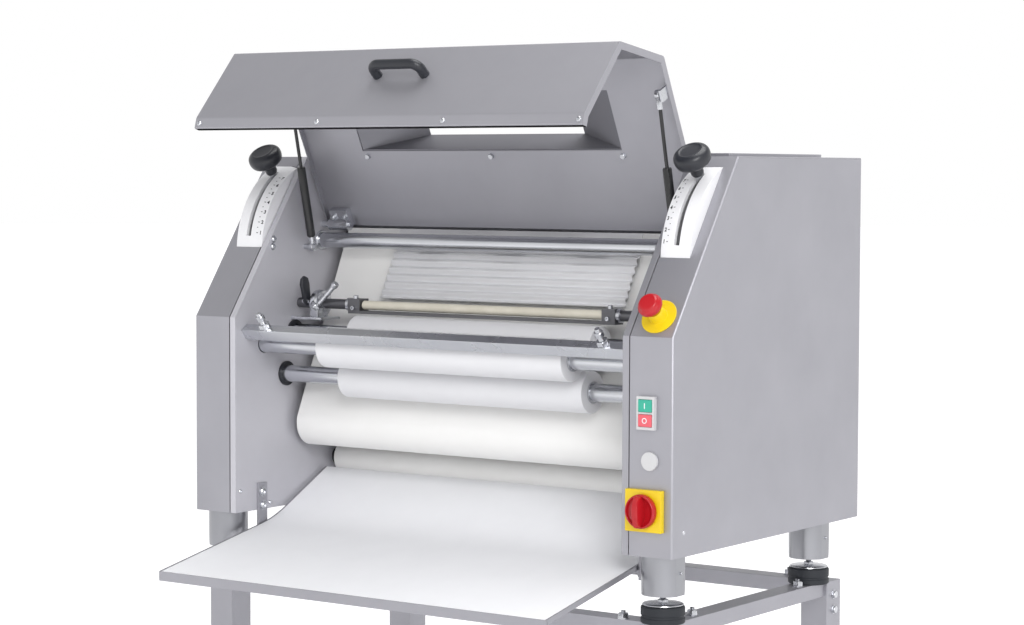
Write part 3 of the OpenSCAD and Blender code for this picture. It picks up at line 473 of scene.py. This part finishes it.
# %% Studs on the bar
STUD_X, LEAN = 350, math.radians(36)
stud_way = Vector((0, -math.sin(LEAN), math.cos(LEAN)))
stud_foot = Vector((0, math.cos(LEAN), math.sin(LEAN))) * 9 * MM
items = []
for side in SIDES:
    foot = at(side * STUD_X, 15, 320) + stud_foot
    items += [(foot, stud_way, washer(9)), (foot, stud_way, lifted(hex_head(10.4, 0.8), 1.6)),
              (foot, stud_way, thread(9.6, 8, 33, 1.5)),
              (foot, stud_way, [(0, 17), (6.6, 17), (7.6, 18), (7.6, 26), (6.8, 27), (0, 27)])]
studs = lathed("blade_bar_studs_look", "head", "polished_steel", items, "blade_bar_studs")
print("studs", len(studs.data.polygons), "faces")

# %% [markdown]
# Knobs. The two lever knobs are black mushrooms with a shallow dish on top, and the
# emergency stop is a red one with a stepped crown.

# %% Lever knobs
def swept(profile, steps=6):
    """Rounds the corners of a profile: each middle point becomes a short curve."""
    out = [profile[0]]
    for before, corner, after in zip(profile, profile[1:], profile[2:]):
        for i in range(steps + 1):
            t = i / steps
            a = [(b + c) / 2 for b, c in zip(before, corner)]
            z = [(c + d) / 2 for c, d in zip(corner, after)]
            out.append(tuple((1 - t) ** 2 * p + 2 * t * (1 - t) * q + t * t * r
                             for p, q, r in zip(a, corner, z)))
    out.append(profile[-1])
    return out


KNOB = swept([(0, -35), (11, -35), (10.4, -16), (26, -14), (31, -3), (29.5, 9), (20, 14.5),
              (17, 12.4), (0, 12)])
REST = math.radians(125)
lever_way = Vector((0, math.cos(REST), math.sin(REST)))
for side, word in zip(SIDES, ("left", "right")):
    hub = Vector(joints[word + "_lever_hinge"]["pos_m"])
    lathed(word + "_knob_look", word + "_lever", "black_plastic",
           [(hub + lever_way * 204 * MM, lever_way, KNOB)], word + "_knob", sides=64, smooth=50)

# %% Emergency stop
SLOPE_RISE, SLOPE_RUN = 280, 196
SLOPE = math.atan2(SLOPE_RISE, SLOPE_RUN)
slope_way = Vector((0, -math.sin(SLOPE), math.cos(SLOPE)))
stop_place = at(454, 21, 343 + 21 * math.tan(SLOPE))
crown = swept([(0, 26), (15, 26), (20.2, 30), (20.2, 37), (16.5, 41), (15.5, 43.6), (11, 45), (0, 45)], 4)
neck = [(0, -16), (9, -16), (9, 28), (0, 28)]
lathed("stop_mushroom_look", "stop_button", "red_plastic",
       [(stop_place, slope_way, crown), (stop_place, slope_way, neck)], "stop_mushroom",
       sides=48, smooth=40)
print("knobs at", [round(v, 3) for v in stop_place])

# %% [markdown]
# The main switch is a red disc with a ridge to grip, moulded in one piece. The ridge
# starts as a box, is pinched at its waist and ends, and gets soft edges.

# %% Main switch
def box_mesh(bm, middle, size, matrix=None):
    """Adds a box, sizes in mm, and returns its vertices."""
    made = bmesh.ops.create_cube(bm, size=1)["verts"]
    for vert in made:
        vert.co = Vector([c * s * MM for c, s in zip(vert.co, size)])
        if matrix:
            vert.co = matrix @ vert.co
        vert.co += middle
    return made


switch_at = at(445, 0, 73)
disc = swept([(0, 10.6), (26.4, 10.6), (27, 14), (26.6, 21), (23.5, 22.8), (21.5, 16), (0, 13.5)], 4)
lathed("switch_knob_look", "switch_knob", "red_plastic",
       [(switch_at, FRONT, disc), (switch_at, FRONT, [(0, -6), (8.5, -6), (8.5, 12), (0, 12)])],
       "switch_knob", sides=64, smooth=40)
bm = bmesh.new()
box_mesh(bm, switch_at + Vector((0, -24 * MM, 0)), (15, 25, 49))
bmesh.ops.subdivide_edges(bm, edges=[e for e in bm.edges if along(e, 2)], cuts=8)
for vert in bm.verts:
    far = abs(vert.co.z - switch_at.z) / (24.5 * MM)
    front = vert.co.y < switch_at.y - 30 * MM
    vert.co.x = switch_at.x + (vert.co.x - switch_at.x) * (1 - 0.35 * far ** 3) * (0.72 if front else 1)
    if front:
        vert.co.y += 5 * MM * far ** 4
bevel(bm, [e for e in bm.edges if e.calc_face_angle(0) > math.radians(40)], 2.2, 4)
mesh = bpy.data.meshes.new("switch_grip")
bm.to_mesh(mesh)
bm.free()
placed(bpy.data.objects.new("switch_grip", mesh), "switch_knob", "red_plastic", smooth=50)
print("switch grip", len(mesh.polygons), "faces")

# %% [markdown]
# Numbers and marks. The scales carry engraved figures, filled with black. A text
# object gives each figure its outline, and a few lines lay it on the sloping band:
# its own x runs along the machine, and its y climbs the arc.

# %% Marks on the scales
def figure(bm, text, size, matrix):
    """Adds a flat, thin figure to bm, centred on the matrix."""
    curve = bpy.data.curves.new("figure", "FONT")
    curve.body, curve.size, curve.extrude = text, size * MM, 0.12 * MM
    curve.align_x, curve.align_y, curve.resolution_u = "CENTER", "CENTER", 3
    curve.offset = 0.3 * MM
    holder = bpy.data.objects.new("figure", curve)
    mesh = bpy.data.meshes.new_from_object(holder)
    mesh.transform(matrix)
    bm.from_mesh(mesh)
    bpy.data.meshes.remove(mesh)
    bpy.data.objects.remove(holder)
    bpy.data.curves.remove(curve)


def facing(place, normal, up):
    """A matrix whose z is the normal and whose y is as near up as can be."""
    z = Vector(normal).normalized()
    x = Vector(up).cross(z).normalized()
    return Matrix.Translation(place) @ Matrix((x, z.cross(x), z)).transposed().to_4x4()


BLOCK_IN, BAND, BAND_DROP, BLOCK_R = PLATE_X + 14, 14, 3, 165
bm = bmesh.new()
for side, word in zip(SIDES, ("left", "right")):
    hub = Vector(joints[word + "_lever_hinge"]["pos_m"])
    tilt = math.atan2(BAND_DROP, BAND)
    for step in range(13):
        angle = math.radians(168 - step * 3.4)
        out = Vector((0, math.cos(angle), math.sin(angle)))
        climb = Vector((0, math.sin(angle), -math.cos(angle)))
        normal = out * math.cos(tilt) - Vector((side, 0, 0)) * math.sin(tilt)
        whole = step % 2 == 0
        reach = 3.4 if whole else 2.2
        for inward, kind in ((BAND - 0.8 - reach / 2, "tick"), (5.0, "number")):
            place = Vector((side * (BLOCK_IN + inward) * MM, hub.y, hub.z))
            drop = BAND_DROP * (1 - inward / BAND)
            place += out * (BLOCK_R - drop) * MM
            matrix = facing(place, normal, climb)
            if kind == "tick":
                box_mesh(bm, place, (reach, 1.2, 0.24), matrix.to_3x3())
            elif whole:
                figure(bm, str(step // 2 + 1), 9, matrix)
mesh = bpy.data.meshes.new("scale_figures")
bm.to_mesh(mesh)
bm.free()
placed(bpy.data.objects.new("scale_figures", mesh), "head", "black_plastic")
print("scale figures", len(mesh.polygons), "faces")

# %% [markdown]
# The buttons carry the two common signs, a bar for on and a ring for off. The ring is
# a lathe shape with a hole, and the bar a small box.

# %% Button signs
def ring_profile(inner, outer, low, high):
    return [(inner, low), (outer, low), (outer, high), (inner, high), (inner, low)]


button = at(447, 0, 225)
green, red = button + Vector((0, -10.1 * MM, 11.5 * MM)), button + Vector((0, -10.1 * MM, -11.5 * MM))
bm = bmesh.new()
box_mesh(bm, green, (1.6, 0.5, 9))
bevel(bm, bm.edges[:], 0.2, 1)
mesh = bpy.data.meshes.new("on_sign")
bm.to_mesh(mesh)
bm.free()
placed(bpy.data.objects.new("on_sign", mesh), "start_button", "scale_plastic")
lathed("off_sign", "off_button", "scale_plastic",
       [(red, FRONT, ring_profile(3.1, 4.4, -.2, .25))], sides=32)

# %% [markdown]
# ## Screws that hold it together
# Each fastener sits where a fitter needs it. They are gathered by the body they move
# with, so that the screws of the hood swing with the hood.

# %% Screws on the housings
items = []
for side, way in zip(SIDES, (RIGHT, LEFT)):
    for y, z, size in ((103, 477, 6), (101, 464, 6), (67, 32, 8), (68.5, 8, 8)):
        x = side * (PLATE_X if z > 100 else PLATE_X - 4)
        items += [(at(x, y, z), way, washer(size)), (at(x, y, z), way, lifted(dome_screw(size), 1))]
    for y, z in ((12, 37.5), (91, 10)):
        items.append((at(side * PLATE_X, y, z), way, dome_screw(4)))
screws = lathed("plate_screws", "head", "polished_steel", items)

items = []
cover_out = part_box("right_cover")[1].x / MM
for side, way in zip(SIDES, (LEFT, RIGHT)):
    items.append((at(side * cover_out, 34, 38), way, [(0, 0), (3.4, 0), (3.1, .5), (1.6, .9), (0, 1)]))
lathed("cover_rivets", "head", "bright_steel", items)
back_y = (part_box("rear_cover")[1].y - FRONT_Y) / MM
COVER_SCREW = [(0, 0), (4, 0), (3.7, .6), (2.2, 1.1), (.9, 1.2, True), (.9, .4, True), (0, .4)]
items = [(at(x, back_y, z), BACK, COVER_SCREW)
         for x in (-395, -132, 132, 395) for z in (16, 310, 606)]
lathed("rear_cover_screws", "head", "polished_steel", items)
print("plate screws", len(screws.data.polygons), "faces")

# %% Screws on the hood
def hood_point(turns, lengths, along_last):
    """Walks along the hood's folded sheet and gives a point and the way out of it."""
    place, lean = Vector((0, 261.6, 500.9)), 116
    for turned_by, length in zip(turns, lengths + [along_last]):
        way = math.radians(lean + turned_by)
        place += length * Vector((0, math.cos(way), math.sin(way)))
    return place, Vector((0, math.sin(way), -math.cos(way)))


FOLD_TURNS, FOLD_LENGTHS = [0, 56, 113, 138], [312, 131, 149]
lip, lip_out = hood_point(FOLD_TURNS, FOLD_LENGTHS, 10)
low, low_out = hood_point([0], [], 138)
items = [(at(x, lip.y, lip.z), lip_out, dome_screw(5)) for x in (-386, -129, 128, 386)]
for x in (-263, 5, 272):
    inner = at(x, low.y, low.z) - low_out * 2 * MM
    items += [(inner, -low_out, washer(5)), (inner, -low_out, lifted(hex_head(5.4, 0.7), .8))]
for side in SIDES:
    for x in (346, 372):
        block, block_out = hood_point([0], [], 24)
        items.append((at(side * x, block.y, block.z) - block_out * 16 * MM, -block_out, socket_screw(6)))
lathed("hood_screws", "hood", "polished_steel", items)

# %% Bolts on the stand
stand_top = (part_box("stand_frame")[1].z - HEAD_Z) / MM
items = []
for side in SIDES:
    for x, y in ((383, 33), (456, 122), (383, 572), (456, 470)):
        foot = at(side * x, y, stand_top)
        items += [(foot, UP, washer(9)), (foot, UP, lifted(hex_head(9.4, 0.8), 1.4)),
                  (foot, UP, thread(8, 8, 13, 1.25))]
    for y in (45, 560):
        for z in (-24, -50):
            place = at(side * 477, y, stand_top + z)
            items += [(place, (side, 0, 0), lifted(washer(7), 0)),
                      (place, (side, 0, 0), lifted(hex_head(7.2, 0.6), 1))]
bolts = lathed("stand_bolts", "head", "polished_steel", items)
print("stand bolts", len(bolts.data.polygons), "faces")

# %% [markdown]
# ## Feet
# The head stands on turned aluminium drums with a flat milled on the outer side, and
# each drum screws down on to a rubber mount with a steel cap.

# %% Feet and rubber mounts
FOOT_X, FOOT_YS, FLAT_OUT = 452, (40, 515), 31.5
drum = swept([(0, -63), (33.4, -63), (34.5, -62), (34.5, -1), (34, 0), (0, 0)], 2)
bm = bmesh.new()
pads, caps, grub = [], [], []
for side in SIDES:
    for y in FOOT_YS:
        centre = at(side * FOOT_X, y, 0)
        turn(bm, centre, UP, drum, sides=96)
        pads.append((centre, UP, [(0, -107), (33.5, -107), (35, -105.5), (35, -99), (33.6, -97.6),
                                  (33.6, -95), (35, -93.6), (35, -82), (33.5, -80), (0, -80)]))
        cap = swept([(0, -80.4), (33, -80.4), (33, -76), (24, -75), (8, -74), (0, -74)], 3)
        caps += [(centre, UP, cap),
                 (centre, UP, thread(9.8, -75, -60, 1.5)), (centre, UP, lifted(hex_head(9.6, .5), -75))]
        grub.append((at(side * (FOOT_X + FLAT_OUT), y, -27), (side, 0, 0), socket_screw(3)))
for vert in bm.verts:
    middle = math.copysign(FOOT_X * MM, vert.co.x)
    flat = middle + math.copysign(FLAT_OUT * MM, middle)
    if abs(vert.co.x) > abs(flat):
        vert.co.x = flat
for side in SIDES:
    for y in FOOT_YS:
        box_mesh(bm, at(side * 447.5, y, 4), (67, 60, 8))
bevel(bm, [e for e in bm.edges if e.calc_length() > 0.055], 0.6, 2)
mesh = bpy.data.meshes.new("head_feet_look")
bm.to_mesh(mesh)
bm.free()
placed(bpy.data.objects.new("head_feet_look", mesh), "head", "foot_aluminium", "head_feet")
lathed("rubber_pads_look", "head", "rubber", pads, "rubber_pads", sides=64)
lathed("mount_caps", "head", "bright_steel", caps, sides=48)
lathed("foot_screws", "head", "polished_steel", grub)
print("feet", len(mesh.polygons), "faces")

# %% [markdown]
# ## Gas springs
# A gas spring is a painted tube, a slim rod, and a ball socket at each end. Each is
# turned about the line between its two balls, which the spring's own slide joint gives.

# %% Springs
TUBE = [(0, 18), (5, 18), (7.2, 20), (7.5, 21), (7.5, 30), (7.1, 30.6), (7.1, 32), (7.5, 32.6),
        (7.5, 144), (6.6, 146), (3.3, 146.2), (0, 146.2)]
SPRING_LINE = Vector((0, 130 - 190, 721 - 462))
NECK = [(0, 4), (4.4, 4), (4.4, 9), (5.6, 10), (5.6, 20, True), (0, 20)]
for side, word in zip(SIDES, ("left", "right")):
    ball = Vector(joints[word + "_spring_hinge"]["pos_m"])
    ball.x = side * 382 * MM
    way = Vector(joints[word + "_spring_slide"]["axis"])
    length = SPRING_LINE.length
    lathed(word + "_spring_tube", word + "_cylinder", "black_paint", [(ball, way, TUBE)],
           word + "_gas_cylinder", sides=40)
    eye = swept([(0, -5), (8, -5), (8.2, 0), (8, 5), (0, 5)], 3)
    lathed(word + "_spring_socket", word + "_cylinder", "bright_steel",
           [(ball, way, NECK), (ball, RIGHT, eye)], sides=24)
    rod = [(0, 122), (3, 122), (3, length - 9), (0, length - 9)]
    lathed(word + "_spring_rod", word + "_rod", "black_paint", [(ball, way, rod)], word + "_gas_rod")
    top = ball + way * length * MM
    lathed(word + "_rod_socket", word + "_rod", "bright_steel",
           [(ball, way, lifted([(0, 0), (5, 0), (5, 16, True), (4, 18), (0, 18)], length - 24)),
            (top, RIGHT, eye)])
print("springs", round(length, 1), "mm between the balls")

# %% [markdown]
# ## The hood handle
# A bent bow with thick legs. Its centre line is two legs, two quarter bends and a
# bar, and a circle is carried along it.

# %% Handle
def tube(bm, points, radius, across, sides=20):
    """Carries a circle of radius mm along points, which lie in the plane square to across."""
    rings = []
    for i, point in enumerate(points):
        way = (points[min(i + 1, len(points) - 1)] - points[max(i - 1, 0)]).normalized()
        other = way.cross(across).normalized()
        rings.append([bm.verts.new(point + (math.cos(a) * across + math.sin(a) * other) * radius * MM)
                      for a in (math.tau * k / sides for k in range(sides))])
    for low_ring, high_ring in zip(rings, rings[1:]):
        for k in range(sides):
            bm.faces.new((low_ring[k], low_ring[(k + 1) % sides],
                          high_ring[(k + 1) % sides], high_ring[k]))
    bm.faces.new(reversed(rings[0]))
    bm.faces.new(rings[-1])


panel, panel_out = hood_point(FOLD_TURNS[:3], FOLD_LENGTHS[:2], 62)
base = at(0, panel.y, panel.z)
panel_way = Vector((1, 0, 0)).cross(panel_out).normalized()
HALF, RISE, BEND = 48, 27, 15
points = []
for side in SIDES:
    leg = [(side * HALF, 0), (side * HALF, (RISE - BEND) * 0.6)]
    leg += [(side * (HALF - BEND + BEND * math.cos(a)), RISE - BEND + BEND * math.sin(a))
            for a in (math.pi / 2 * k / 8 for k in range(9))]
    points.append([base + Vector((x * MM, 0, 0)) + panel_out * y * MM for x, y in leg])
bm = bmesh.new()
tube(bm, points[0] + points[1][::-1], 8.5, panel_way)
mesh = bpy.data.meshes.new("hood_handle_look")
bm.to_mesh(mesh)
bm.free()
placed(bpy.data.objects.new("hood_handle_look", mesh), "hood", "black_plastic", "hood_handle", smooth=50)
print("handle", len(mesh.polygons), "faces")

# %% [markdown]
# ## Guide roller lock
# On the left the guide roller's bar is held in a cast bracket, with a sprung bolt at
# a slant and a black lever that opens it.

# %% Lock bracket
guide_at = at(0, 175, 362)
LOCK_X = -352
bolt_foot = at(LOCK_X + 1, 158, 354)
bolt_way = Vector((math.sin(math.radians(47)), 0, math.cos(math.radians(47))))
collar = swept([(0, 0), (23, 0), (24.5, 3), (24.5, 13), (22, 16), (14, 17), (13, 22), (0, 22)], 3)
items = [(Vector((0, guide_at.y, guide_at.z)) + Vector(((LOCK_X - 8) * MM, 0, 0)), RIGHT, collar),
         (bolt_foot, bolt_way, lifted(hex_head(13, 0.7), 2)), (bolt_foot, bolt_way, thread(10, 8, 58, 1.9)),
         (bolt_foot, bolt_way, [(0, 58), (6, 58), (6.6, 59), (6.6, 65), (6, 66), (0, 66)]),
         (at(LOCK_X - 8, 156, 366), LEFT, [(0, 0), (4, 0), (4, 16), (0, 16)])]
lathed("lock_bracket_look", "head", "bright_steel", items, "lock_bracket")
bm = bmesh.new()
box_mesh(bm, at((LOCK_X + 30 - PLATE_X) / 2 - 4, 176, 335.5), (PLATE_X + LOCK_X + 22, 54, 5))
box_mesh(bm, at(LOCK_X - 4, 175, 348), (8, 40, 22))
box_mesh(bm, at(LOCK_X + 6, 158, 350), (14, 14, 24))
bevel(bm, [e for e in bm.edges if e.calc_length() > 0.004], 0.8, 2)
mesh = bpy.data.meshes.new("lock_foot")
bm.to_mesh(mesh)
bm.free()
placed(bpy.data.objects.new("lock_foot", mesh), "head", "bright_steel")

# %% Lock lever
pin = Vector(joints["lock_lever_hinge"]["pos_m"])
outline = [(-8, 0), (-12, 14), (-17, 30), (-15, 40), (-8, 45), (0, 42), (4, 32), (6, 16), (8, 0), (0, -8)]
bm = bmesh.new()
faces = []
for x in (-4, 4):
    faces.append([bm.verts.new(pin + Vector((x, y, z)) * MM) for y, z in outline])
bm.faces.new(faces[0])
bm.faces.new(reversed(faces[1]))
for k in range(len(outline)):
    n = (k + 1) % len(outline)
    bm.faces.new((faces[0][n], faces[0][k], faces[1][k], faces[1][n]))
bmesh.ops.recalc_face_normals(bm, faces=bm.faces)
bevel(bm, [e for e in bm.edges if not along(e, 0)], 2.2, 3)
mesh = bpy.data.meshes.new("lock_lever_look")
bm.to_mesh(mesh)
bm.free()
placed(bpy.data.objects.new("lock_lever_look", mesh), "lock_lever", "black_plastic",
       "lock_lever", smooth=40)
print("lock", len(mesh.polygons), "faces")

# %% [markdown]
# The clamp blocks at both ends of the guide roller, with their clamp screws.

# %% Guide clamps
items = []
for side in SIDES:
    items += [(at(side * 267, 170, 373), UP, socket_screw(6)),
              (at(side * 281, 175, 362), (side, 0, 0), [(0, 0), (12, 0), (12, 6), (11, 7), (0, 7)]),
              (at(side * 267, 163, 357), FRONT, socket_screw(5))]
lathed("guide_clamp_screws", "head", "polished_steel", items)

# %% [markdown]
# A flat ring stands round each end of the cross tube.

# %% Cross tube rings
items = [(at(side * PLATE_X, 236, 473), (-side, 0, 0), [(0, 0), (18, 0), (18, 3), (17, 4), (0, 4)])
         for side in SIDES]
lathed("cross_tube_flanges", "head", "bright_steel", items, sides=40)

# %% [markdown]
# ## Studio
# A plain pale floor, a bright even sky and large soft lamps: the light that a
# catalogue uses, so that shape and finish show without hard shadows.

# %% Floor
floor_mesh = bpy.data.meshes.new("floor")
bm = bmesh.new()
bmesh.ops.create_circle(bm, cap_ends=True, radius=60, segments=96)
bm.to_mesh(floor_mesh)
bm.free()
floor = bpy.data.objects.new("floor", floor_mesh)
bpy.context.scene.collection.objects.link(floor)
floor_paint = bpy.data.materials.new("pale floor")
floor_paint.use_nodes = True
floor_shader = floor_paint.node_tree.nodes["Principled BSDF"]
floor_shader.inputs["Base Color"].default_value = (0.8, 0.8, 0.81, 1)
floor_shader.inputs["Roughness"].default_value = 0.9
floor_tree = floor_paint.node_tree
from_middle = add(floor_tree, "ShaderNodeVectorMath", {"operation": "LENGTH"},
                  i0=add(floor_tree, "ShaderNodeTexCoord").outputs["Object"])
glow = add(floor_tree, "ShaderNodeMapRange", Value=from_middle.outputs["Value"])
for label, value in (("From Min", 1.0), ("From Max", 3.0), ("To Min", 0.0), ("To Max", 0.6)):
    glow.inputs[label].default_value = value
floor_shader.inputs["Emission Color"].default_value = (1, 1, 1, 1)
floor_tree.links.new(glow.outputs[0], floor_shader.inputs["Emission Strength"])
floor_mesh.materials.append(floor_paint)
bpy.context.scene.view_settings.view_transform = "Standard"

# %% [markdown]
# Sheet steel shows what stands round it. A sky that is white near the horizon and
# grey overhead gives the housings and the hood their different greys.

# %% Sky and lamps
world = bpy.data.worlds.new("studio")
bpy.context.scene.world = world
world.use_nodes = True
sky = world.node_tree
way_up = add(sky, "ShaderNodeSeparateXYZ", Vector=add(sky, "ShaderNodeTexCoord").outputs["Generated"])
fade = add(sky, "ShaderNodeMapRange", {"interpolation_type": "SMOOTHSTEP"}, Value=way_up.outputs["Z"])
for label, value in (("From Min", 0.25), ("From Max", 0.75), ("To Min", 1.0), ("To Max", 0.45)):
    fade.inputs[label].default_value = value
sky.nodes["Background"].inputs["Color"].default_value = (1, 1, 1, 1)
sky.links.new(fade.outputs[0], sky.nodes["Background"].inputs["Strength"])


def lamp(name, place, aim, size, power):
    data = bpy.data.lights.new(name, "AREA")
    data.shape, data.size, data.energy = "DISK", size, power
    obj = bpy.data.objects.new(name, data)
    bpy.context.scene.collection.objects.link(obj)
    obj.location = place
    obj.rotation_euler = (Vector(aim) - Vector(place)).to_track_quat("-Z", "Y").to_euler()
    return obj


lamp("key lamp", (3.4, -3.4, 3.4), (0, 0, 1.0), 2.4, 130)
lamp("top lamp", (0.6, 0.4, 4.6), (0, 0, 1.0), 3.0, 95)

# %% [markdown]
# The camera stands to the front right, a little above the tray, with a long lens.

# %% Camera
lens = bpy.data.cameras.new("camera")
lens.sensor_width = 36
lens.lens = 88.43
camera = bpy.data.objects.new("camera", lens)
bpy.context.scene.collection.objects.link(camera)
camera.location = (2.5097, -3.5020, 1.3463)
camera.rotation_euler = (math.radians(90 - 3.19), math.radians(-0.18), math.radians(35.19))
bpy.context.scene.camera = camera
